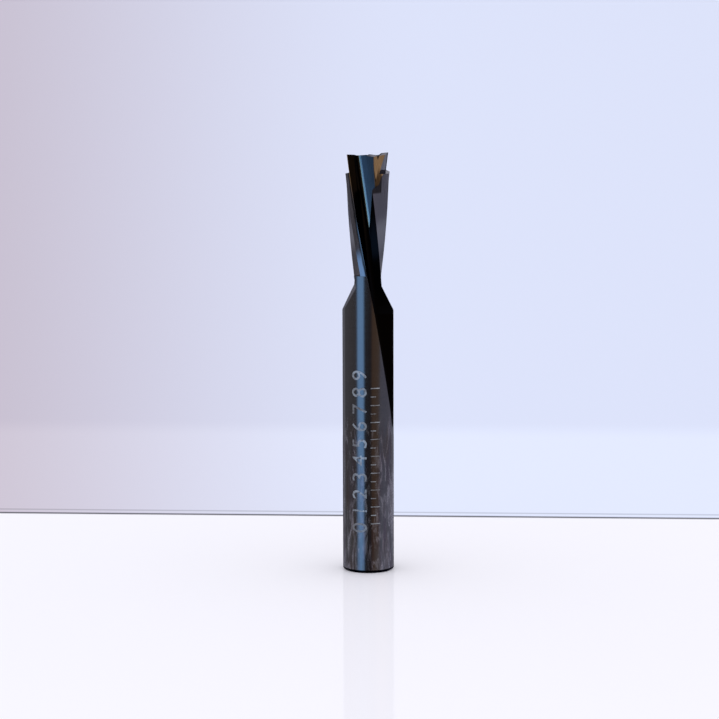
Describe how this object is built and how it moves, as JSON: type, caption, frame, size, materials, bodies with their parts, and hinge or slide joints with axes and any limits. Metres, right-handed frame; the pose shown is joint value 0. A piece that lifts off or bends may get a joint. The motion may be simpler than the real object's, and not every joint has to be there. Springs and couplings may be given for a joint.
{
  "type": "router bit",
  "caption": "Solid carbide router bit: plain round shank, long straight-backed flutes on a slight spiral, run-outs into the shank and a gashed cutting end.",
  "frame": {"origin": "centre of the shank's bottom face, on the tool's axis", "axes": "+Z along the tool's axis from the shank towards the cutting end; seen from the cutting end the tool turns anticlockwise"},
  "size_m": [0.0096, 0.0096, 0.0778],
  "materials": {
    "carbide": "finely ground, dark grey, polished along the cut"
  },
  "bodies": {
    "root": {"router_bit": "carbide"}
  },
  "joints": []
}
